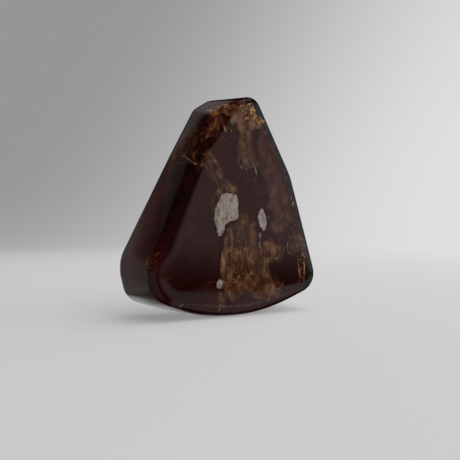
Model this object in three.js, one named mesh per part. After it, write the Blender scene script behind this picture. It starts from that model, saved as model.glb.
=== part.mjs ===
// Dravite tourmaline, ground and polished into a standing free form: a rounded triangular
// slab about 31 mm wide, 10 mm thick and 33 mm tall. It is one solid crystal with a broad
// front face, a flat left flank that widens towards the back, two small facets across its
// upper left shoulder and an arched underside, ground flat in the middle where it stands.
//
// The crystal is convex, so it is the hull of its rounded corners. Each corner is a disc
// that lies in the plane of the broad faces: its plan radius rounds the triangular outline
// and its edge radius rounds the rim between the outline and the broad face.
//
// Millimetres, +Z up, front face towards -Y, origin at the middle of the footprint.

import * as THREE from "three";
import { ConvexGeometry } from "three/addons/geometries/ConvexGeometry.js";

const THICKNESS = 9.6;
const FRONT = -THICKNESS / 2;
const BACK = THICKNESS / 2;

// The underside is an arc, and a flat this wide is ground on its lowest point.
const BASE_RADIUS = 31;
const BASE_FLAT = 6.4;
const FLAT_DEPTH = BASE_RADIUS - Math.sqrt(BASE_RADIUS ** 2 - (BASE_FLAT / 2) ** 2);

// Points round a full plan circle, round part of one, and over an edge's half circle.
const CIRCLE_STEPS = 40;
const ARC_STEPS = 24;
const EDGE_STEPS = 8;

const DOWN = -Math.PI / 2;
const arc = { x: 0.3, z: BASE_RADIUS - FLAT_DEPTH, plan: BASE_RADIUS };

// x and z are a disc's centre, and inset is how far its face lies behind the broad face.
const frontCorners = [
  { name: "underside", ...arc, edge: 3.0, from: DOWN - 0.4, to: DOWN + 0.43 },
  { name: "lower left", x: -9.0, z: 7.0, plan: 5.0, edge: 1.2 },
  { name: "lower right", x: 12.1, z: 6.05, plan: 3.1, edge: 1.3 },
  { name: "right flank", x: -1.0, z: 16.8, plan: 12.4, edge: 1.3, from: 0.15, to: 0.6 },
  { name: "top right", x: 2.65, z: 31.25, plan: 2.1, edge: 1.0 },
  { name: "top", x: 1.0, z: 31.6, plan: 1.2, edge: 1.0 },
  { name: "upper left", x: -4.45, z: 24.9, plan: 1.0, edge: 0.9 },
  { name: "shoulder", x: -2.9, z: 29.6, plan: 0.9, edge: 0.8, inset: 1.6 },
];

const backCorners = [
  { name: "back underside", ...arc, edge: 2.0, from: DOWN - 0.47, to: DOWN + 0.38 },
  { name: "back lower left", x: -11.6, z: 5.2, plan: 3.1, edge: 1.2 },
  { name: "back left flank", x: -9.2, z: 7.4, plan: 6.0, edge: 1.4 },
  { name: "back upper left", x: -5.9, z: 24.0, plan: 1.6, edge: 1.6, inset: 0.7 },
  { name: "back shoulder", x: -2.3, z: 30.8, plan: 1.6, edge: 1.6, inset: 1.0 },
  { name: "back top", x: -0.6, z: 31.9, plan: 1.6, edge: 1.6, inset: 1.2 },
  { name: "back top right", x: 1.8, z: 30.6, plan: 2.4, edge: 2.0, inset: 1.0 },
  { name: "back right flank", x: 5.6, z: 20.0, plan: 4.6, edge: 2.6 },
  { name: "back lower right", x: 11.0, z: 6.4, plan: 3.6, edge: 2.4 },
];

// The angles at which a disc is sampled, over the part of its circle that it uses.
function planAngles({ from = 0, to = 2 * Math.PI }) {
  const steps = to - from < Math.PI ? ARC_STEPS : CIRCLE_STEPS;
  return Array.from({ length: steps + 1 }, (_, i) => from + ((to - from) * i) / steps);
}

// A rounded disc whose flat side is at y = face and whose rim turns away from it, towards
// the middle of the crystal. Nothing reaches below the ground flat.
function roundedCorner(corner, face, inward) {
  const { x, z, plan, edge } = corner;
  const points = [];
  for (const round of planAngles(corner)) {
    for (let j = 0; j <= EDGE_STEPS; j++) {
      const over = (Math.PI * j) / EDGE_STEPS;
      const reach = plan - edge + edge * Math.sin(over);
      const depth = edge - edge * Math.cos(over);
      const height = Math.max(0, z + reach * Math.sin(round));
      points.push(new THREE.Vector3(x + reach * Math.cos(round), face + inward * depth, height));
    }
  }
  return points;
}

// The hull of all the corners, moved so that the origin is the middle of its footprint.
function crystalGeometry() {
  const geometry = new ConvexGeometry([
    ...frontCorners.flatMap((c) => roundedCorner(c, FRONT + (c.inset ?? 0), 1)),
    ...backCorners.flatMap((c) => roundedCorner(c, BACK - (c.inset ?? 0), -1)),
  ]);
  geometry.computeBoundingBox();
  const middle = geometry.boundingBox.getCenter(new THREE.Vector3());
  return geometry.translate(-middle.x, -middle.y, 0);
}

const crystal = new THREE.Mesh(
  crystalGeometry(),
  new THREE.MeshStandardMaterial({ color: 0x2e1712, roughness: 0.08, metalness: 0 }),
);
crystal.name = "dravite_crystal";

const part = new THREE.Group();
part.add(crystal);

export default part;
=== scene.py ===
"""A polished dravite tourmaline, full of silvery and golden flakes, on a pale studio floor."""

from math import cos, hypot, inf, pi, radians, sin, tan

import bmesh
import bpy
from mathutils import Matrix, Vector, noise
from mathutils.bvhtree import BVHTree
from random import Random


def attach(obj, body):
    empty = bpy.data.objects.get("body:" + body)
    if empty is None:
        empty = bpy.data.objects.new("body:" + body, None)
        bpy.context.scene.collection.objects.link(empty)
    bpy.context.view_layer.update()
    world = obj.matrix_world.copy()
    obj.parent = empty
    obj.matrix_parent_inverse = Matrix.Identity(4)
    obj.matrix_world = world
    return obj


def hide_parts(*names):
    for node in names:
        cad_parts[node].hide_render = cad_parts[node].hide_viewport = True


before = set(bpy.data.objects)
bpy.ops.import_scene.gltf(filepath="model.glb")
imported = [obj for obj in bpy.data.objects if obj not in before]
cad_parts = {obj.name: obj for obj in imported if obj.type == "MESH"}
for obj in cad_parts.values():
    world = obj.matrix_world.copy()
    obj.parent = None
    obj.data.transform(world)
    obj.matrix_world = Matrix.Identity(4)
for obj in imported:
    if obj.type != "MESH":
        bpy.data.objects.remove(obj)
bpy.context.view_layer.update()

MM = 0.001

# ---------------------------------------------------------------------------------------
# The camera stands low and close, to the left of the front face, so that the flat left
# flank shows beside it.

VIEW_FROM_LEFT = radians(30)
VIEW_DOWN = radians(0.7)
FIELD_OF_VIEW = radians(42.5)
EYE = Vector((-44.9, -80.7, 14.2)) * MM

camera_data = bpy.data.cameras.new("camera")
camera_data.sensor_width = 36
camera_data.lens = camera_data.sensor_width / 2 / tan(FIELD_OF_VIEW / 2)
camera_data.clip_start = 1 * MM
camera_data.clip_end = 20
camera = bpy.data.objects.new("camera", camera_data)
bpy.context.collection.objects.link(camera)
camera.location = EYE
camera.rotation_euler = (pi / 2 - VIEW_DOWN, 0, -VIEW_FROM_LEFT)
bpy.context.scene.camera = camera

# ---------------------------------------------------------------------------------------
# The crystal: one piece of dark red-brown tourmaline, ground to a rounded triangular slab
# and polished all over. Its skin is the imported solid, remeshed and smoothed so that the
# facets run into each other as hand-polished ones do, and its narrow sides are crowned.

SKIN_VOXEL = 0.22 * MM
SKIN_SMOOTHING = 8
TOURMALINE_IOR = 1.63
# How the stone drinks light. A millimetre of it lets through 68% of the red, 54% of the green
# and 49% of the blue.
CLEAR_COLOUR = (0.49, 0.17, 0.04, 1)
CLEAR_DENSITY = 750
# How much a narrow side bulges, in millimetres for each squared millimetre from its middle.
CROWN = 0.011
# The long left edge is worn: the front face falls away to it over this width. The edge is
# given by its normal in the front face and its distance from the origin, in millimetres.
EDGE_WIDTH = 2.3
EDGE_DROP = 0.125
EDGE_NORMAL = (0.919, 0, -0.394)
EDGE_OFFSET = 15.0
# The wear sets in between these heights.
EDGE_BEGINS = (6, 11)
# The polish is not quite even: a slight haze is added to it in patches.
POLISH = 0.02
POLISH_HAZE = 0.05


class Wire:
    """An output socket of a node tree, that can be used in sums such as 1 - mask."""

    def __init__(self, tree, socket):
        self.tree = tree
        self.socket = socket

    def node(self, kind, sockets, output=0, stops=None, **settings):
        """The output of a new node, from its type, its settings and its sockets."""
        made = self.tree.nodes.new("ShaderNode" + kind)
        for name, value in settings.items():
            setattr(made, name, value)
        if stops:
            ramp = made.color_ramp
            while len(ramp.elements) < len(stops):
                ramp.elements.new(1)
            for element, (position, colour) in zip(ramp.elements, stops):
                element.position = position
                element.color = (*colour, 1)
        for name, value in sockets.items():
            if isinstance(value, Wire):
                self.tree.links.new(value.socket, made.inputs[name])
            else:
                made.inputs[name].default_value = value
        return Wire(self.tree, made.outputs[output])

    def math(self, operation, first, second):
        """A Math node on two values, each a wire or a number."""
        return self.node("Math", {0: first, 1: second}, operation=operation)

    def __add__(self, other):
        return self.math("ADD", self, other)

    def __radd__(self, other):
        return self.math("ADD", other, self)

    def __sub__(self, other):
        return self.math("SUBTRACT", self, other)

    def __rsub__(self, other):
        return self.math("SUBTRACT", other, self)

    def __mul__(self, other):
        return self.math("MULTIPLY", self, other)

    def __rmul__(self, other):
        return self.math("MULTIPLY", other, self)

    def rise(self, low, high):
        """0 below low and 1 above high, with a smooth step between them."""
        sockets = {"Value": self, "From Min": low, "From Max": high}
        return self.node("MapRange", sockets, interpolation_type="SMOOTHSTEP")

    def shade(self, *stops):
        """The colour that a ramp of (position, colour) stops gives to a value."""
        return self.node("ValToRGB", {"Fac": self}, stops=stops)

    def part(self, axis):
        """One part of a vector: X, Y or Z."""
        return self.node("SeparateXYZ", {0: self}, output=axis)

    def length(self):
        """How long a vector is."""
        return self.node("VectorMath", {0: self}, output="Value", operation="LENGTH")

    def dot(self, direction):
        """How far a vector reaches along a direction."""
        return self.node("VectorMath", {0: self, 1: direction}, output="Value",
                         operation="DOT_PRODUCT")

    def scaled(self, x, y, z):
        """A vector with its parts multiplied."""
        return self.node("VectorMath", {0: self, 1: (x, y, z)}, operation="MULTIPLY")

    def grain(self, scale, detail=4, roughness=0.55, distortion=0.0, seed=0):
        """Noise over a vector, from 0 to 1."""
        shifted = self.node("VectorMath", {0: self, 1: (seed, seed, seed)}, operation="ADD")
        sockets = {"Vector": shifted, "Scale": scale, "Detail": detail,
                   "Roughness": roughness, "Distortion": distortion}
        return self.node("TexNoise", sockets)


def new_finish(name):
    """A new material, its shader and the place on the piece in millimetres."""
    finish = bpy.data.materials.new(name)
    finish.use_nodes = True
    shader = finish.node_tree.nodes["Principled BSDF"]
    start = Wire(finish.node_tree, None)
    place = start.node("TexCoord", {}, output="Object").scaled(1 / MM, 1 / MM, 1 / MM)
    return finish, shader, place


def set_sockets(shader, sockets):
    """Sets a shader's sockets to values or links."""
    for name, value in sockets.items():
        if isinstance(value, Wire):
            value.tree.links.new(value.socket, shader.inputs[name])
        else:
            shader.inputs[name].default_value = value


def finished_mesh(name, source, modifiers):
    """A new object whose mesh is the source mesh after the given modifiers."""
    maker = bpy.data.objects.new(name + "_maker", source)
    bpy.context.collection.objects.link(maker)
    for kind, settings in modifiers:
        modifier = maker.modifiers.new(kind, kind)
        for setting, value in settings.items():
            setattr(modifier, setting, value)
    depsgraph = bpy.context.evaluated_depsgraph_get()
    mesh = bpy.data.meshes.new_from_object(maker.evaluated_get(depsgraph))
    bpy.data.objects.remove(maker)
    piece = bpy.data.objects.new(name, mesh)
    mesh.name = name
    bpy.context.collection.objects.link(piece)
    return piece


solid = bmesh.new()
solid.from_mesh(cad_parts["dravite_crystal"].data)
bmesh.ops.remove_doubles(solid, verts=solid.verts, dist=0.001 * MM)
solid_mesh = bpy.data.meshes.new("merged_solid")
solid.to_mesh(solid_mesh)
solid.free()
crystal = finished_mesh("polished_crystal", solid_mesh, [
    ("REMESH", {"mode": "VOXEL", "voxel_size": SKIN_VOXEL}),
    ("SMOOTH", {"factor": 0.5, "iterations": SKIN_SMOOTHING}),
])
crystal.data.shade_smooth()

stone, shader, place = new_finish("dravite_stone")
off_middle = place.part("Y")
from_edge = place.dot(EDGE_NORMAL) + EDGE_OFFSET
worn = 1 - from_edge.node("MapRange", {"Value": from_edge, "From Max": EDGE_WIDTH})
worn = worn * worn * place.part("Z").rise(*EDGE_BEGINS)
set_sockets(shader, {
    "Base Color": (1, 1, 1, 1),
    "Roughness": POLISH + POLISH_HAZE * place.grain(0.35, detail=3).rise(0.45, 0.75),
    "IOR": TOURMALINE_IOR,
    "Transmission Weight": 1,
    "Normal": place.node("Bump", {"Height": off_middle * off_middle * -CROWN - worn * EDGE_DROP,
                                  "Distance": 1 * MM}),
})
absorption = stone.node_tree.nodes.new("ShaderNodeVolumeAbsorption")
absorption.inputs["Color"].default_value = CLEAR_COLOUR
absorption.inputs["Density"].default_value = CLEAR_DENSITY
stone.node_tree.links.new(absorption.outputs["Volume"],
                          stone.node_tree.nodes["Material Output"].inputs["Volume"])
crystal.data.materials.clear()
crystal.data.materials.append(stone)
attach(crystal, "root")
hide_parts("dravite_crystal")

# ---------------------------------------------------------------------------------------
# The clouded depth of the crystal: the stone is clear for less than a millimetre. Below
# that it is so full of fine veils that the eye sees no deeper than a dull crimson surface.

CLOUD_DEPTH = 0.85 * MM
CLOUD_VOXEL = 0.5 * MM
CLOUD_RELIEF = 0.15 * MM
# Its swells for each millimetre, and the roughness, step and number of their finer waves.
CLOUD_SWELLS = 0.5
CLOUD_WAVES = (0.8, 2.1, 4)
# A gap in the veils, low on the right, where the stone looks nearly black: its middle in
# millimetres and what one millimetre is as a share of its reach.
GAP_MIDDLE = (9.0, -4, 6.5)
GAP_SHARE = (0.38, 0.1, 0.5)
# How far inside the worn edge the painted shade line runs, in millimetres.
SHADE_LINE_INSIDE = 0.6

core = finished_mesh("clouded_core", crystal.data.copy(), [
    ("DISPLACE", {"strength": -CLOUD_DEPTH, "mid_level": 0}),
    ("REMESH", {"mode": "VOXEL", "voxel_size": CLOUD_VOXEL}),
])
veiled = bmesh.new()
veiled.from_mesh(core.data)
for vert in veiled.verts:
    swell = noise.fractal(vert.co / MM * CLOUD_SWELLS, *CLOUD_WAVES)
    vert.co += vert.normal * CLOUD_RELIEF * swell
veiled.to_mesh(core.data)
veiled.free()
core.data.shade_smooth()

clouded, shader, place = new_finish("clouded_tourmaline_with_painted_light")
cloud = place.scaled(1, 1, 0.8).grain(0.4, detail=5, roughness=0.55)
wisp = place.scaled(1.2, 1.2, 0.6).grain(1.2, detail=5, seed=7)
from_gap = place.node("VectorMath", {0: place, 1: GAP_MIDDLE}, operation="SUBTRACT")
gap = 1 - from_gap.scaled(*GAP_SHARE).length().rise(0.6, 1.2)
height = place.part("Z")
low = height.rise(2, 5) * (1 - height.rise(6, 12))
# Painted light: the core is made paler towards the back, a glow seen through the left flank.
back_glow = place.part("Y").rise(-4.5, 3)
# Painted shade: the core is darkened in a line just inside the worn edge.
from_shade_line = place.dot(EDGE_NORMAL) + EDGE_OFFSET - SHADE_LINE_INSIDE
edge = height.rise(8, 12) * (1 - (from_shade_line * from_shade_line).rise(0.2, 1.8))
# Veils are pale where they crowd. There are fewer in the gap, and the core is darker in a belt
# low down. Painted shade darkens it along the worn edge, and it is painted paler towards the
# back, as a glow seen through the left flank.
crowd_and_shade = 0.12 + 0.55 * cloud + 0.2 * wisp - 0.07 * gap - 0.12 * low + 0.14 * back_glow - 0.23 * edge
set_sockets(shader, {
    "Base Color": crowd_and_shade.shade((0.22, (0.03, 0.002, 0.002)), (0.36, (0.085, 0.006, 0.005)),
                              (0.5, (0.15, 0.012, 0.009)), (0.64, (0.23, 0.034, 0.025))),
    "Roughness": 0.6,
    "Specular IOR Level": 0.2,
    "Normal": wisp.node("Bump", {"Height": wisp, "Strength": 0.5, "Distance": 0.3 * MM}),
})
core.data.materials.clear()
core.data.materials.append(clouded)
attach(core, "root")

# ---------------------------------------------------------------------------------------
# Silver flakes: thin plates of pale mica that grew in the crystal and now lie just under
# the polished front face. Each has a broken outline and a crumpled, bright surface.

skin_tree = BVHTree.FromPolygons([v.co for v in crystal.data.vertices],
                                 [p.vertices for p in crystal.data.polygons])
# The two ways of looking into the stone: how a flat plan turns to face that side, and the
# direction into the stone. A plan's points are (x, z) at the front and (y, z) at the left.
FRONT = (Matrix.Rotation(pi / 2, 4, "X"), Vector((0, 1, 0)))
LEFT = (Matrix.Rotation(pi / 2, 4, "Z") @ Matrix.Rotation(pi / 2, 4, "X"), Vector((1, 0, 0)))
# In millimetres: where the way in starts, outside the stone, the least depth of a flake or a
# needle under the skin, and how thick a flake is.
WAY_IN = 30
LEAST_DEPTH = 0.06
FLAKE_THICKNESS = 0.03
# The noise that cuts a flake ragged: the roughness, step and number of its finer waves. The
# noise that crumples it is finer by its own factor, and starts elsewhere.
RAGGED_WAVES = (0.7, 2.1, 4)
CRUMPLE_FINER = 1.7
CRUMPLE_START = 9


def inset_in(outline, across, up):
    """How far inside an outline a point lies, and below 0 how far outside."""
    nearest = inf
    inside = False
    for (x0, z0), (x1, z1) in zip(outline, outline[1:] + outline[:1]):
        run, rise = x1 - x0, z1 - z0
        along = ((across - x0) * run + (up - z0) * rise) / (run ** 2 + rise ** 2)
        along = max(0, min(1, along))
        nearest = min(nearest, hypot(across - x0 - along * run, up - z0 - along * rise))
        if (z0 > up) != (z1 > up) and across < x0 + (up - z0) * run / rise:
            inside = not inside
    return nearest if inside else -nearest


def skin_under(across, up, side):
    """Where a plan's point meets the skin, and the skin's normal there."""
    turn, inward = side
    flat = turn @ Vector((across, up, 0)) * MM
    hit, outward, _, _ = skin_tree.ray_cast(flat - inward * WAY_IN * MM, inward)
    return hit, outward


def pour(source, target):
    """Adds one bmesh to another and frees it."""
    carrier = bpy.data.meshes.new("carrier")
    source.to_mesh(carrier)
    source.free()
    target.from_mesh(carrier)
    bpy.data.meshes.remove(carrier)


def add_flake(flakes, outline, side=FRONT, depth=0.12, cell=0.1, ragged=0.0, grain=(1, 1),
              holes=1.0, relief=0.03, fade=0.5, strength=1.0, seed=0.0):
    """A thin plate under the skin, in millimetres, added to a bmesh.

    Its outline is cut ragged by noise with this grain across and up. The lower holes is, the
    more of the plate the noise takes out. Its body attribute rises from 0 at the ragged edge
    to the strength at fade inside it, for the finishes that are sheer.
    """
    inward = side[1]
    xs = [x for x, z in outline]
    zs = [z for x, z in outline]
    margin = ragged + cell
    width = max(xs) - min(xs) + 2 * margin
    height = max(zs) - min(zs) + 2 * margin
    middle = ((max(xs) + min(xs)) / 2, (max(zs) + min(zs)) / 2)
    sheet = bmesh.new()
    bmesh.ops.create_grid(sheet, x_segments=round(width / cell), y_segments=round(height / cell),
                          size=0.5)
    body = sheet.verts.layers.float.new("body")
    lost = []
    for vert in sheet.verts:
        across = middle[0] + vert.co.x * width
        up = middle[1] + vert.co.y * height
        fibre = noise.fractal(Vector((across * grain[0], up * grain[1], seed)), *RAGGED_WAVES)
        bump = noise.noise(Vector((across * grain[0] * CRUMPLE_FINER,
                                   up * grain[1] * CRUMPLE_FINER, seed + CRUMPLE_START)))
        inset = min(inset_in(outline, across, up) + ragged * fibre, fibre + holes)
        if inset < 0:
            lost.append(vert)
            continue
        hit = skin_under(across, up, side)[0]
        if hit is None:
            lost.append(vert)
            continue
        vert[body] = strength * min(1, inset / fade)
        vert.co = hit + inward * max(LEAST_DEPTH, depth + relief * bump) * MM
    bmesh.ops.delete(sheet, geom=lost, context="VERTS")
    bmesh.ops.smooth_vert(sheet, verts=[v for v in sheet.verts if v.is_boundary], factor=0.5,
                          use_axis_x=True, use_axis_y=True, use_axis_z=True)
    bmesh.ops.solidify(sheet, geom=sheet.faces, thickness=FLAKE_THICKNESS * MM)
    bmesh.ops.recalc_face_normals(sheet, faces=sheet.faces)
    pour(sheet, flakes)


def add_inclusion(name, flakes, finish):
    """Makes a piece of the finished flakes, inside the crystal."""
    mesh = bpy.data.meshes.new(name)
    flakes.to_mesh(mesh)
    flakes.free()
    mesh.shade_smooth()
    mesh.materials.append(finish)
    piece = bpy.data.objects.new(name, mesh)
    bpy.context.collection.objects.link(piece)
    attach(piece, "root")


# The outlines of the larger ones.
LARGE_FLAKE = [(-2.65, 18.5), (-1.3, 18.7), (0.05, 18.45), (0.45, 17.7), (0.45, 14.7),
               (-0.9, 14.35), (-1.75, 13.9), (-2.05, 12.7), (-2.55, 12.2), (-3.1, 12.2),
               (-3.35, 13.3), (-3.8, 14.8), (-3.65, 16.1), (-3.2, 17.1), (-2.75, 17.9)]
SPEAR_FLAKE = [(4.6, 16.7), (5.45, 15.1), (5.6, 14.0), (5.45, 13.0), (4.75, 12.85), (4.1, 13.8),
               (3.75, 14.9), (4.0, 15.9)]
LOW_FLAKE = [(-2.8, 6.1), (-2.1, 5.6), (-2.2, 5.1), (-2.5, 4.4), (-3.2, 4.5), (-3.4, 5.2),
             (-3.3, 5.6)]
# The small ones: middle (x, z), half length, half width and lean from upright in degrees.
SMALL_FLAKES = [
    ((3.5, 22.1), 0.75, 0.17, -18),
    ((3.3, 20.7), 0.55, 0.07, -25),
    ((4.3, 12.2), 0.6, 0.22, -5),
    ((4.25, 10.9), 0.6, 0.12, 0),
    ((-3.9, 5.55), 0.75, 0.06, 80),
    ((0.9, 22.5), 0.3, 0.12, -30),
    ((1.7, 22.3), 0.3, 0.1, 70),
    ((2.0, 23.2), 0.7, 0.07, -6),
    ((2.8, 23.5), 0.8, 0.08, -14),
    ((1.4, 23.0), 0.4, 0.06, 6),
    ((5.85, 15.05), 0.14, 0.12, 0),
    ((5.8, 8.2), 0.3, 0.1, 5),
    ((9.9, 9.4), 0.22, 0.13, 0),
    ((9.4, 10.6), 0.7, 0.12, 0),
    ((10.4, 10.4), 0.6, 0.1, 5),
    ((10.5, 17.2), 0.5, 0.14, 10),
    ((10.1, 18.1), 0.3, 0.1, -20),
    ((8.9, 17.9), 0.55, 0.07, 65),
    ((6.3, 18.2), 0.5, 0.06, 75),
    ((9.1, 21.2), 0.35, 0.08, 50),
    ((-1.9, 26.4), 0.2, 0.07, 75),
    ((-0.8, 27.8), 0.25, 0.06, 10),
    ((-1.2, 31.5), 0.4, 0.12, 50),
    ((2.65, 32.2), 0.2, 0.12, 20),
    ((4.95, 29.75), 0.22, 0.2, 30),
    ((4.2, 30.2), 0.35, 0.1, -35),
    ((-7.6, 7.2), 0.15, 0.05, 60),
    ((-5.0, 8.6), 0.25, 0.05, 50),
    ((-10.6, 6.4), 0.35, 0.05, -60),
    ((-8.9, 2.4), 0.45, 0.12, 60),
    ((0.4, 4.9), 0.25, 0.12, -35),
    ((-0.3, 5.9), 0.6, 0.07, -30),
]


def oval(middle, half_length, half_width, lean, corners=8):
    """The outline of a small flake: a narrow oval with a few corners."""
    turn = radians(lean)
    points = []
    for step in range(corners):
        angle = 2 * pi * step / corners
        up = half_length * cos(angle)
        across = half_width * sin(angle)
        points.append((middle[0] + across * cos(turn) + up * sin(turn),
                       middle[1] + up * cos(turn) - across * sin(turn)))
    return points


silver = bmesh.new()
add_flake(silver, LARGE_FLAKE, ragged=0.14, grain=(2.6, 2.6), relief=0.06)
add_flake(silver, SPEAR_FLAKE, ragged=0.1, grain=(3, 3), relief=0.05, seed=3)
add_flake(silver, LOW_FLAKE, ragged=0.1, grain=(4, 4), seed=5)
for number, sizes in enumerate(SMALL_FLAKES):
    add_flake(silver, oval(*sizes), depth=0.15, cell=0.05, ragged=0.06, grain=(4, 3), seed=number)

mica, shader, place = new_finish("silver_mica")
crumple = place.scaled(2.2, 1, 0.8).grain(1.2, detail=8, roughness=0.65, distortion=0.4)
cleavage = place.scaled(3, 1, 0.6).grain(2.5, detail=4, seed=5)
set_sockets(shader, {
    "Base Color": (0.7 * crumple + 0.3 * cleavage).shade(
        (0.36, (0.18, 0.14, 0.12)), (0.46, (0.60, 0.51, 0.45)), (0.6, (0.98, 0.91, 0.85))),
    "Metallic": cleavage.rise(0.42, 0.62) * 0.6,
    "Roughness": 0.25 + 0.3 * crumple,
    "Normal": crumple.node("Bump", {"Height": crumple + 0.5 * cleavage, "Strength": 0.5,
                                    "Distance": 0.25 * MM}),
})
add_inclusion("silver_flakes", silver, mica)

# ---------------------------------------------------------------------------------------
# Golden plumes: sheer mats of fine golden-brown fibres, with stiffer needles over them. All
# run up the crystal and spread under the front face as feathers with frayed ends.

# The largest plume, its dense heart, the band down its left side and the lobe at its right.
LOWER_PLUME = [(-1.9, 12.4), (-1.3, 13.5), (0.2, 14.5), (0.5, 15.7), (1.65, 15.9), (3.0, 15.1),
               (3.7, 14.1), (4.1, 12.9), (4.3, 11.4), (5.1, 11.3), (6.4, 11.6), (7.4, 10.9),
               (9.0, 10.2), (8.6, 9.0), (8.0, 8.2), (6.6, 8.2), (6.2, 6.8), (6.6, 5.9),
               (7.9, 5.4), (8.6, 4.4), (8.3, 2.7), (6.9, 2.4), (3.8, 2.4), (1.9, 2.7),
               (-1.0, 2.6), (-2.2, 3.4), (-2.6, 6.4), (-2.75, 7.7), (-2.6, 9.4), (-2.05, 10.6)]
LOWER_HEART = [(-2.5, 9.5), (-1.4, 10.8), (1.6, 11.0), (3.8, 12.2), (4.4, 11.0), (4.8, 8.4),
               (6.2, 6.8), (6.6, 5.9), (7.9, 5.4), (8.6, 4.4), (8.3, 2.7), (6.9, 2.4), (3.8, 2.6),
               (1.9, 3.7), (-1.0, 3.7), (-2.2, 4.0), (-2.6, 6.4)]
LEFT_BAND = [(-1.9, 12.2), (-1.2, 12.2), (-1.3, 9.5), (-1.6, 7.5), (-1.9, 5.5), (-2.7, 5.6),
             (-2.75, 7.7), (-2.6, 9.4), (-2.15, 10.6)]
RIGHT_LOBE = [(2.2, 11.0), (4.1, 11.2), (5.1, 11.4), (6.4, 11.8), (7.4, 11.0), (9.0, 10.3),
              (8.7, 9.0), (7.6, 8.4), (6.2, 8.2), (4.4, 7.0), (2.5, 8.4)]
# The plume above it, its stalk and the broad one at the top that the stalk hangs from.
UPPER_PLUME = [(0.5, 25.0), (1.2, 25.4), (2.6, 25.6), (3.6, 23.8), (3.9, 22.5), (2.7, 22.4),
               (1.2, 22.1), (0.3, 22.8)]
UPPER_STALK = [(0.4, 28.4), (2.7, 28.4), (3.2, 26.0), (3.2, 24.5), (0.3, 24.4), (0.3, 26.0)]
TOP_PLUME = [(-1.8, 31.0), (-0.6, 32.2), (1.6, 32.6), (3.4, 31.8), (4.5, 30.4), (5.2, 29.5),
             (4.6, 28.4), (3.2, 28.0), (2.5, 27.2), (0.7, 27.2), (0.0, 28.6), (-1.0, 29.4)]
# A hood over the large silver flake: streaks that come down to it, a cap and a thin veil.
HOOD_STREAKS = [
    [(-4.9, 24.5), (-4.2, 24.5), (-3.1, 23.3), (-2.3, 21.9), (-2.9, 21.9), (-4.0, 23.1)],
    [(-5.4, 24.2), (-4.8, 24.0), (-4.1, 22.7), (-4.5, 22.4)],
    [(-3.9, 22.0), (-3.3, 22.0), (-1.9, 20.5), (-2.3, 20.3), (-3.0, 20.8)],
]
HOOD_CAP = [(-2.8, 20.8), (-0.8, 20.5), (0.3, 19.6), (0.5, 18.4), (-2.8, 18.4), (-3.4, 17.0),
            (-3.5, 15.6), (-4.2, 16.2), (-4.0, 18.2), (-3.5, 19.6)]
HOOD_VEIL = [(-5.0, 24.2), (-3.4, 23.8), (-2.4, 22.2), (-1.6, 20.9), (-0.6, 20.3), (-2.4, 19.4),
             (-3.9, 20.0), (-5.2, 21.4), (-6.2, 22.6)]
# A short tail below the lower plume.
TAIL_PLUME = [(-3.0, 4.2), (-1.8, 4.2), (-1.7, 2.0), (-2.2, 0.9), (-2.9, 1.0), (-3.1, 2.4)]

# How deep the needles lie, in millimetres.
NEEDLE_DEPTHS = (0.1, 0.45)

plumes = bmesh.new()
add_flake(plumes, LOWER_PLUME, depth=0.6, ragged=0.6, grain=(0.8, 0.6), holes=0.9, relief=0.15,
          fade=0.9, strength=0.75)
add_flake(plumes, LOWER_HEART, depth=0.45, ragged=0.8, grain=(1.3, 0.6), holes=0.6, relief=0.15,
          fade=0.8, seed=9)
add_flake(plumes, LEFT_BAND, depth=0.3, ragged=0.2, grain=(2.5, 0.3), holes=1.2, relief=0.05,
          fade=0.3, seed=1)
add_flake(plumes, RIGHT_LOBE, depth=0.4, ragged=0.7, grain=(1.3, 0.6), holes=0.6, relief=0.1,
          seed=2)
add_flake(plumes, UPPER_PLUME, depth=0.45, ragged=0.4, grain=(1.5, 0.5), holes=0.5, relief=0.15,
          fade=0.5, seed=3)
add_flake(plumes, UPPER_STALK, depth=0.55, ragged=0.5, grain=(1.0, 0.5), holes=0.8, relief=0.15,
          fade=0.9, strength=0.8, seed=7)
add_flake(plumes, TOP_PLUME, depth=0.45, ragged=0.7, grain=(0.8, 0.8), holes=0.9, relief=0.15,
          fade=1.1, seed=4)
add_flake(plumes, HOOD_CAP, depth=0.5, ragged=0.5, grain=(1.3, 0.8), holes=0.7, relief=0.15,
          fade=0.7, seed=5)
add_flake(plumes, HOOD_VEIL, depth=0.6, ragged=0.5, grain=(0.8, 0.8), holes=0.9, relief=0.15,
          fade=1.0, strength=0.5, seed=8)
add_flake(plumes, TAIL_PLUME, depth=0.5, ragged=0.4, grain=(1.5, 0.4), holes=1.0, relief=0.15,
          strength=0.7, seed=6)
for number, streak in enumerate(HOOD_STREAKS):
    add_flake(plumes, streak, depth=0.3, cell=0.07, ragged=0.15, grain=(2, 0.8), relief=0.05,
              fade=0.25, seed=number)


def depth_in_stone(point):
    """How far a point lies below the nearest skin, and below 0 outside the stone."""
    nearest, outward, _, _ = skin_tree.find_nearest(point)
    return (nearest - point).dot(outward)


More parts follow.
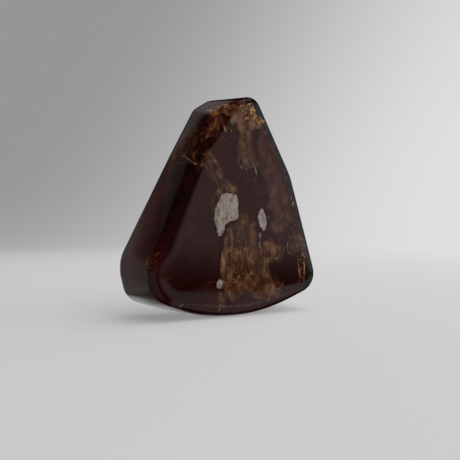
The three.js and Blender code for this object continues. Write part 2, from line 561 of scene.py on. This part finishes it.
def add_fibres(mats, outline, count, length, width, fan=0.0, heart=0.0, lean=0.0, seed=1):
    """A mat of fine needles under the front, in millimetres and degrees, added to a bmesh.

    They run up the crystal, turned by lean. Fan spreads them, by so many degrees for each
    millimetre to the side of the heart line.
    """
    turn, inward = FRONT
    chance = Random(seed)
    xs = [x for x, z in outline]
    zs = [z for x, z in outline]
    bundle = bmesh.new()
    while count > 0:
        across = chance.uniform(min(xs), max(xs))
        up = chance.uniform(min(zs), max(zs))
        if inset_in(outline, across, up) < 0:
            continue
        count -= 1
        hit = skin_under(across, up, FRONT)[0]
        if hit is None:
            continue
        middle = hit + inward * chance.uniform(*NEEDLE_DEPTHS) * MM
        angle = radians(lean + fan * (across - heart) + chance.gauss(0, 7))
        along = turn @ Vector((sin(angle), cos(angle), chance.gauss(0, 0.08)))
        reach = length * chance.uniform(0.3, 1) * MM
        ends = [middle + along * reach * share for share in (-0.5, 0.5)]
        if any(depth_in_stone(end) < LEAST_DEPTH * MM for end in ends):
            continue
        place = Matrix.Translation(middle) @ along.to_track_quat("Z", "Y").to_matrix().to_4x4()
        thick = width * chance.uniform(0.5, 1) * MM
        bmesh.ops.create_cone(bundle, cap_ends=True, segments=3, radius1=thick,
                              radius2=0.3 * thick, depth=reach, matrix=place)
    body = bundle.verts.layers.float.new("body")
    for vert in bundle.verts:
        vert[body] = 1
    pour(bundle, mats)


needles = bmesh.new()
add_fibres(needles, LOWER_PLUME, 60, 2.4, width=0.025, fan=2.5, heart=1.5, seed=11)
add_fibres(needles, RIGHT_LOBE, 80, 1.6, width=0.025, fan=9.0, heart=5.0, seed=12)
add_fibres(needles, UPPER_PLUME, 90, 2.0, width=0.03, fan=6.0, heart=1.8, seed=13)
add_fibres(needles, TOP_PLUME, 50, 1.4, width=0.025, lean=-25, seed=14)
add_fibres(needles, HOOD_CAP, 30, 1.4, width=0.025, lean=-24, seed=15)
add_fibres(needles, HOOD_VEIL, 10, 2.0, width=0.025, lean=-36, seed=18)
add_fibres(needles, TAIL_PLUME, 10, 1.4, width=0.025, seed=16)

fibres, shader, place = new_finish("golden_fibres")
strand = place.scaled(4, 4, 0.4).grain(1, detail=6, roughness=0.6)
patch = place.scaled(1, 1, 0.4).grain(0.6, detail=3, seed=3)
set_sockets(shader, {
    "Base Color": (0.6 * strand + 0.45 * patch).shade(
        (0.38, (0.60, 0.32, 0.14)), (0.5, (0.80, 0.50, 0.25)), (0.6, (1.0, 0.75, 0.45)),
        (0.74, (1.0, 0.90, 0.70))),
    "Metallic": strand.rise(0.6, 0.8) * 0.3,
    "Roughness": 0.4,
})
add_inclusion("golden_needles", needles, fibres)

mat, shader, place = new_finish("brown_mat")
streak = place.scaled(2.4, 2.4, 0.3).grain(1, detail=4, roughness=0.5, distortion=0.3)
mottle = place.scaled(1, 1, 0.6).grain(0.9, detail=5, roughness=0.6, seed=3)
high = place.part("Z").rise(24, 29)
body = place.node("Attribute", {}, output="Fac", attribute_name="body")
set_sockets(shader, {
    "Base Color": (0.1 * streak + 0.9 * mottle + 0.13 * high).shade(
        (0.38, (0.25, 0.09, 0.035)), (0.5, (0.50, 0.235, 0.09)), (0.6, (0.84, 0.49, 0.21)),
        (0.72, (1.0, 0.78, 0.50))),
    "Roughness": 0.6,
    "Alpha": body * (0.4 + 0.45 * (0.85 * mottle + 0.15 * streak).rise(0.36, 0.62)),
})
add_inclusion("plume_mats", plumes, mat)

# ---------------------------------------------------------------------------------------
# Amber: the shoulder facet and the tip are full of short orange needles over a rusty veil,
# which thins out down the left flank. Loose wisps of it lie low on the flank and at the right.

# The veil at the top, the streaks in it and the patch at the tip.
AMBER_TOP = [(-3.3, 31.0), (-2.2, 31.9), (-1.0, 32.2), (0.6, 32.5), (1.2, 32.0), (0.0, 31.4),
             (-0.6, 30.4), (-1.6, 29.4), (-2.2, 28.3), (-3.0, 26.6), (-4.4, 26.8), (-3.9, 29.2)]
AMBER_STREAKS = [
    [(-3.1, 31.2), (-1.8, 31.8), (-0.4, 32.3), (-0.3, 32.0), (-1.7, 31.3), (-2.8, 30.8)],
    [(-2.2, 30.6), (-1.8, 30.6), (-1.9, 29.0), (-1.5, 27.8), (-1.9, 27.7), (-2.4, 28.9)],
    [(-1.2, 31.2), (-0.7, 31.2), (-0.5, 29.9), (-0.9, 29.8)],
    [(-2.9, 29.0), (-2.6, 29.0), (-2.9, 27.2), (-3.3, 26.4), (-3.5, 26.5), (-3.2, 27.4)],
]
TIP_AMBER = [(2.2, 32.2), (3.0, 32.1), (3.7, 30.8), (4.4, 29.9), (5.1, 29.7), (5.0, 29.2),
             (3.9, 29.3), (3.0, 30.2), (2.3, 31.2)]
# A few long blades that run up beside the right-hand corner.
RIGHT_BLADES = [
    [(12.5, 9.0), (12.8, 9.4), (13.0, 9.0), (12.95, 7.0), (12.95, 4.9), (12.6, 4.6),
     (12.45, 5.5), (12.6, 7.0)],
    [(11.3, 8.6), (11.6, 9.0), (11.9, 8.0), (12.05, 6.4), (12.0, 4.9), (11.65, 4.8),
     (11.5, 6.0), (11.35, 7.4)],
    [(12.0, 9.2), (12.6, 9.9), (13.1, 9.7), (13.2, 9.1), (12.6, 8.8)],
]
# On the left flank: a rusty veil and a streak along its far edge.
FLANK_VEIL = [(3.5, 26.5), (2.0, 28.8), (-2.0, 29.0), (-4.0, 27.5), (-4.2, 25.0), (-3.8, 22.6),
              (-1.5, 22.3), (1.5, 22.8), (3.6, 21.6), (4.0, 23.5)]
FLANK_STREAK = [(2.4, 27.0), (3.1, 26.4), (3.4, 24.5), (3.7, 22.5), (3.9, 21.0), (3.3, 21.4),
                (2.8, 23.4), (2.3, 25.2)]
# Rust beside the near edge of the flank: a smear at its upper part and a fringe low down.
EDGE_SMEAR = [(-6.6, 21.4), (-5.9, 22.8), (-5.1, 24.4), (-4.4, 25.3), (-3.9, 24.9), (-4.5, 23.3),
              (-5.5, 21.8), (-6.2, 20.9)]
FLANK_FRINGE = [(-4.5, 7.2), (-4.4, 10.0), (-3.4, 10.4), (-2.4, 9.4), (-2.4, 8.0), (-3.4, 6.8)]

amber = bmesh.new()
add_flake(amber, AMBER_TOP, depth=0.55, ragged=0.5, grain=(0.8, 0.7), holes=1.3, relief=0.15,
          fade=0.8, seed=21)
add_flake(amber, FLANK_VEIL, side=LEFT, depth=0.6, ragged=0.8, grain=(0.8, 0.8), holes=0.6,
          relief=0.15, fade=1.2, strength=0.3, seed=23)
add_flake(amber, FLANK_STREAK, side=LEFT, depth=0.4, ragged=0.25, grain=(3, 0.8), holes=0.8,
          fade=0.4, strength=0.6, seed=24)
add_flake(amber, EDGE_SMEAR, depth=0.4, cell=0.07, ragged=0.3, grain=(1.5, 0.8), fade=0.7,
          strength=0.8, seed=22)
add_flake(amber, FLANK_FRINGE, side=LEFT, depth=0.4, cell=0.07, ragged=0.5, grain=(1.5, 1),
          holes=0.8, fade=0.8, strength=0.15, seed=26)
add_flake(amber, TIP_AMBER, depth=0.4, cell=0.07, ragged=0.25, grain=(2, 2), holes=0.6,
          fade=0.2, seed=27)
for number, streak in enumerate(AMBER_STREAKS):
    add_flake(amber, streak, depth=0.3, cell=0.07, ragged=0.2, grain=(2, 1), relief=0.05, fade=0.1,
              seed=number)
add_fibres(amber, AMBER_TOP, 50, 0.9, lean=25, width=0.03, seed=24)
for number, blade in enumerate(RIGHT_BLADES):
    add_flake(amber, blade, depth=0.25, cell=0.07, ragged=0.12, grain=(3, 0.6), relief=0.05,
              fade=0.15, seed=number)

rust, shader, place = new_finish("amber_needles")
top = place.part("Z").rise(12, 16)
tint = place.scaled(1, 1, 0.7).grain(0.9, detail=4, roughness=0.55) + 0.08 * (1 - top)
body = place.node("Attribute", {}, output="Fac", attribute_name="body")
set_sockets(shader, {
    "Base Color": tint.shade((0.40, (0.12, 0.015, 0.002)), (0.52, (0.38, 0.10, 0.010)),
                             (0.6, (0.75, 0.30, 0.04)), (0.7, (1.0, 0.60, 0.18))),
    "Metallic": tint.rise(0.5, 0.7) * 0.4,
    "Roughness": 0.35,
    "Alpha": body * (0.5 + 0.5 * tint.rise(0.42, 0.6)),
})
add_inclusion("amber_top", amber, rust)

# ---------------------------------------------------------------------------------------
# Rose veils: the right of the front face is hazy with pale, pinkish dust, thickest in a
# fibrous patch above the corner. One pale twig of it crosses the left flank.

# A wide, dull red cloud down the right, the fibrous patch, a tan stain in it and the twig.
RED_CLOUD = [(3.2, 27.5), (5.2, 28.6), (7.0, 25.0), (8.6, 22.0), (9.9, 18.5), (10.6, 15.0),
             (10.4, 12.8), (8.0, 12.2), (5.9, 13.4), (5.9, 16.0), (5.6, 19.0), (4.4, 20.5),
             (3.9, 23.0)]
RIGHT_CLOUD = [(9.3, 11.6), (10.6, 12.8), (12.3, 12.6), (12.9, 10.6), (13.0, 9.4), (11.2, 9.2),
               (9.4, 9.5)]
TAN_PATCH = [(11.2, 12.2), (12.4, 12.4), (13.0, 10.8), (13.1, 9.7), (11.9, 9.4), (11.2, 10.6)]
FLANK_TWIG = [(-0.4, 24.4), (-0.3, 24.1), (-2.4, 23.3), (-4.2, 22.3), (-4.3, 22.8), (-2.4, 23.7)]

haze = bmesh.new()
add_flake(haze, RED_CLOUD, depth=0.5, ragged=1.0, grain=(0.5, 0.5), holes=1.1, relief=0.15,
          fade=2.0, seed=32)
add_flake(haze, RIGHT_CLOUD, depth=0.4, ragged=0.6, grain=(0.8, 0.6), holes=0.8, relief=0.1,
          seed=33)
add_flake(haze, TAN_PATCH, depth=0.3, ragged=0.25, grain=(1, 0.8), holes=1.2, relief=0.05, seed=35)
add_flake(haze, FLANK_TWIG, side=LEFT, depth=0.3, cell=0.07, ragged=0.15, grain=(1, 3),
          fade=0.15, seed=34)
add_fibres(haze, RIGHT_CLOUD, 160, 1.4, width=0.035, seed=31)

dusty, shader, place = new_finish("rose_veils")
tint = place.scaled(1, 1, 0.7).grain(0.8, detail=6, roughness=0.6)
body = place.node("Attribute", {}, output="Fac", attribute_name="body")
set_sockets(shader, {
    "Base Color": tint.shade((0.38, (0.42, 0.15, 0.10)), (0.55, (0.60, 0.29, 0.21)),
                             (0.72, (0.85, 0.60, 0.48))),
    "Roughness": 0.5,
    "Alpha": body * (0.35 + 0.4 * tint.rise(0.36, 0.7)),
})
add_inclusion("rose_veils", haze, dusty)

# ---------------------------------------------------------------------------------------
# Gold leaf: crumbs of bright, foil-like flakes in small swarms among the needles, each
# turned its own way so that only some of them catch the light.

# How deep the crumbs are set and the least depth left under the nearest skin, in millimetres,
# and how far each is turned from lying flat, in radians.
CRUMB_DEPTHS = (0.2, 0.4)
CRUMB_LEAST_DEPTH = 0.12
CRUMB_TURN = 0.14
# Each swarm: the side it lies under, its middle, half width, half height, number of crumbs and
# size of the largest, in millimetres.
GOLD_SWARMS = [
    (FRONT, (2.9, 31.1), 0.45, 0.8, 46, 0.5),
    (FRONT, (3.4, 30.3), 0.3, 0.5, 24, 0.55),
    (FRONT, (2.1, 32.0), 0.2, 0.2, 8, 0.35),
    (FRONT, (-0.5, 32.2), 0.7, 0.15, 14, 0.25),
    (FRONT, (1.0, 31.0), 0.5, 0.5, 14, 0.35),
    (FRONT, (2.0, 30.0), 0.3, 0.3, 8, 0.4),
    (FRONT, (4.8, 29.8), 0.3, 0.15, 10, 0.5),
    (FRONT, (-2.5, 30.5), 1.2, 0.7, 18, 0.18),
    (FRONT, (0.1, 5.4), 0.9, 1.1, 44, 0.3),
    (FRONT, (2.8, 6.8), 0.8, 0.7, 26, 0.28),
    (FRONT, (5.8, 8.3), 0.2, 0.4, 8, 0.34),
    (FRONT, (7.5, 8.7), 0.5, 0.3, 10, 0.3),
    (FRONT, (12.2, 7.0), 0.5, 1.8, 20, 0.3),
    (FRONT, (7.8, 3.6), 0.8, 0.6, 10, 0.2),
    (FRONT, (10.6, 13.5), 0.8, 2.2, 18, 0.18),
    (FRONT, (9.0, 19.5), 0.8, 1.6, 10, 0.16),
    (FRONT, (-12.9, 9.0), 0.4, 0.9, 12, 0.16),
    (LEFT, (-3.3, 8.4), 1.1, 1.4, 36, 0.14),
    (LEFT, (3.2, 24.5), 0.3, 1.6, 16, 0.16),
]

leaf = bmesh.new()
chance = Random(5)
for side, (across, up), half_width, half_height, count, largest in GOLD_SWARMS:
    for _ in range(count):
        spot_across = across + chance.gauss(0, 0.5) * half_width
        spot_up = up + chance.gauss(0, 0.5) * half_height
        hit, outward = skin_under(spot_across, spot_up, side)
        if hit is None:
            continue
        middle = hit + side[1] * chance.uniform(*CRUMB_DEPTHS) * MM
        if depth_in_stone(middle) < CRUMB_LEAST_DEPTH * MM:
            continue
        facing = outward + Vector([chance.gauss(0, CRUMB_TURN) for axis in "xyz"])
        place = Matrix.Translation(middle) @ facing.to_track_quat("Z", "Y").to_matrix().to_4x4()
        size = largest * chance.uniform(0.3, 1) / 2 * MM
        bmesh.ops.create_cone(leaf, cap_ends=True, segments=6, radius1=size, radius2=0.8 * size,
                              depth=FLAKE_THICKNESS * MM, matrix=place)

gold, shader, place = new_finish("gold_leaf")
wrinkle = place.grain(3, detail=4)
set_sockets(shader, {
    "Base Color": wrinkle.shade((0.42, (0.85, 0.40, 0.07)), (0.56, (1.0, 0.72, 0.28))),
    "Metallic": 1,
    "Roughness": 0.18 + 0.2 * wrinkle,
    "Normal": wrinkle.node("Bump", {"Height": wrinkle, "Strength": 0.3, "Distance": 0.1 * MM}),
})
add_inclusion("gold_leaf", leaf, gold)

# ---------------------------------------------------------------------------------------
# Studio: a pale floor of paper that sweeps up into a wall, inside a light tent. The tent has
# one soft light for the room, others for the inside of the stone and a dim, uneven grey that
# the polished faces mirror.

FLOOR_RADIUS = 350 * MM
SWEEP_RADIUS = 100 * MM
WALL_HEIGHT = 205 * MM
SWEEP_STEPS = 12
FLOOR_SIDES = 120
# The wall is open in front of this plane.
WALL_FRONT = -95 * MM
RIGHTWARD = (cos(VIEW_FROM_LEFT), -sin(VIEW_FROM_LEFT), 0)
# The grey of the tent where it is seen past the wall.
TENT_GREY = 0.5

sweep = bmesh.new()
rim = [Vector((0, 0, 0)), Vector((FLOOR_RADIUS - SWEEP_RADIUS, 0, 0))]
for step in range(1, SWEEP_STEPS + 1):
    angle = pi / 2 * step / SWEEP_STEPS
    out = FLOOR_RADIUS - SWEEP_RADIUS * (1 - sin(angle))
    rim.append(Vector((out, 0, SWEEP_RADIUS * (1 - cos(angle)))))
rim.append(Vector((FLOOR_RADIUS, 0, WALL_HEIGHT)))
profile = [sweep.verts.new(point) for point in rim]
edges = [sweep.edges.new(pair) for pair in zip(profile, profile[1:])]
bmesh.ops.spin(sweep, geom=profile + edges, cent=(0, 0, 0), axis=(0, 0, 1), angle=2 * pi,
               steps=FLOOR_SIDES, use_merge=True)
bmesh.ops.remove_doubles(sweep, verts=sweep.verts, dist=0.01 * MM)
bmesh.ops.bisect_plane(sweep, geom=sweep.verts[:] + sweep.edges[:] + sweep.faces[:],
                       plane_co=(0, WALL_FRONT, 0), plane_no=(0, 1, 0))
front_wall = [v for v in sweep.verts if v.co.z > 0.1 * MM and v.co.y < WALL_FRONT - 0.1 * MM]
bmesh.ops.delete(sweep, geom=front_wall, context="VERTS")
bmesh.ops.recalc_face_normals(sweep, faces=sweep.faces)
sweep_mesh = bpy.data.meshes.new("backdrop")
sweep.to_mesh(sweep_mesh)
sweep.free()
sweep_mesh.shade_smooth()
backdrop = bpy.data.objects.new("backdrop", sweep_mesh)
bpy.context.collection.objects.link(backdrop)

paper, shader, place = new_finish("backdrop_paper")
across = place.dot(RIGHTWARD)
height = place.part("Z")
# Near the stone the paper takes the light of the tent and has a little painted glow. Farther out
# it has only painted glow, brighter to the right and dimmer at the upper left.
far = place.length().rise(60, 340)
fade = 1 - (1 - place.part("X").rise(-150, -20)) * height.rise(95, 180)
wall_glow = (0.31 + 0.44 * (across - 0.6 * height).rise(-190, 140)) * fade
floor_glow = 0.19 + 0.14 * across.rise(-150, 150)
glow = wall_glow * far + floor_glow * (1 - far)
set_sockets(shader, {
    "Base Color": far.shade((0, (0.85, 0.84, 0.845)), (1, (0.0, 0.0, 0.0))),
    "Roughness": 0.8,
    "Specular IOR Level": 0.1,
    "Emission Color": glow.shade((0, (0, 0, 0)), (1, (1, 0.985, 0.995))),
    "Emission Strength": 1,
})
sweep_mesh.materials.append(paper)
backdrop.visible_glossy = False
backdrop.visible_transmission = False

world = bpy.data.worlds.new("light_tent")
world.use_nodes = True
background = world.node_tree.nodes["Background"]
towards = Wire(world.node_tree, None).node("TexCoord", {}, output="Generated")


def soft_light(direction, full, edge):
    """A round soft light in the tent: 1 within the full angle, 0 outside the edge."""
    near = towards.dot(Vector(direction).normalized())
    return near.rise(cos(radians(edge)), cos(radians(full)))


# The room has one broad soft light, high up in front, over a very faint grey.
room = 0.02 + soft_light((0.30, -0.40, 0.87), 30, 48)
# Light reaches into the stone from the front and the left. From straight behind there is next
# to none, so its clear rim stays dark.
inside = (0.35 - 0.3 * towards.dot((0.5, 0.866, 0)).rise(0.2, 0.6)
          + 0.9 * soft_light((0.45, -0.75, 0.5), 25, 55)
          + 0.25 * towards.dot((-0.9, -0.15, 0.4)).rise(0.3, 0.9))

# The front face mirrors a dim grey that is brighter to the right. A dark gap parts it from
# the table, which is mirrored below.
rising = towards.dot((0, 0, 1))
rightward = towards.dot((0.857, 0.515, 0))
gap = rising + 0.115 - 0.03 * (1 - rightward.rise(-0.14, -0.1))
tent_front = 0.25 * rising.rise(-0.108, -0.01) * (1 - rising.rise(0.3, 0.6))
in_front = 0.2 + (tent_front - 0.2) * gap.rise(-0.004, 0.002)
in_front = in_front * (1 + 0.5 * rightward.rise(0.0, 0.14)) * rightward.rise(-0.25, -0.14)
# The left flank mirrors what is behind it to the left: a grey in bands of height, stronger
# low down and to the right.
behind_left = (0.035 + 0.04 * rising.rise(-0.1, 0.1) * (1 - rising.rise(0.36, 0.42))
               + 0.15 * (towards.dot((0.866, 0.5, -0.9)) + 0.37).rise(-0.34, 0.03)
               * (1 - 0.6 * rising.rise(0.34, 0.42)) + 0.06 * rising.rise(0.48, 0.5))
# The table behind the stone is bright only close to it, where it is seen steeply.
east = towards.dot((1, 0, 0))
steep = 1 - rising.rise(-0.5, -0.36)
table_behind = ((0.02 + 0.1 * steep + (0.4 + 0.35 * steep) * east.rise(-0.22, -0.03))
                * (1 - rising.rise(-0.06, 0.02)) * (1 - east.rise(0.3, 0.6)))
# Low in front, on the left, is a faint grey for the rounded edge beside the flank.
low_left = 0.12 * (1 - rising.rise(0.0, 0.2)) * (1 - rightward.rise(-0.5, -0.3))
# The other soft lights that the faces mirror: strength, direction, full angle and edge. Two
# small ones for the shoulder facets, one overhead, one from the table and one at the right.
MIRRORED_LIGHTS = [
    (0.3, (0.02, 0.70, 0.72), 6, 13),
    (0.2, (-0.20, 0.78, 0.59), 5, 13),
    (0.55, (0.3, -0.36, 0.88), 12, 24),
    (0.2, (0.47, -0.33, -0.82), 16, 30),
    (0.07, (0.93, -0.30, 0.10), 20, 36),
]
mirrored = (0.008 + in_front * soft_light((0.52, -0.85, 0), 40, 58)
            + behind_left * soft_light((-0.64, 0.77, 0), 26, 40)
            + table_behind * towards.dot((0, 1, 0)).rise(0.3, 0.6) + low_left)
for strength, direction, full, edge in MIRRORED_LIGHTS:
    mirrored = mirrored + strength * soft_light(direction, full, edge)

# Each kind of ray finds its own light in the tent.
camera_ray = towards.node("LightPath", {}, output="Is Camera Ray")
through = towards.node("LightPath", {}, output="Is Transmission Ray")
glossy = towards.node("LightPath", {}, output="Is Glossy Ray") * (1 - through)
tent = (room + camera_ray * (TENT_GREY - room) + through * (inside - room)
        + glossy * (mirrored - room))
set_sockets(background, {"Color": (1, 1, 1, 1), "Strength": tent})
bpy.context.scene.world = world
bpy.context.scene.view_settings.view_transform = "Standard"
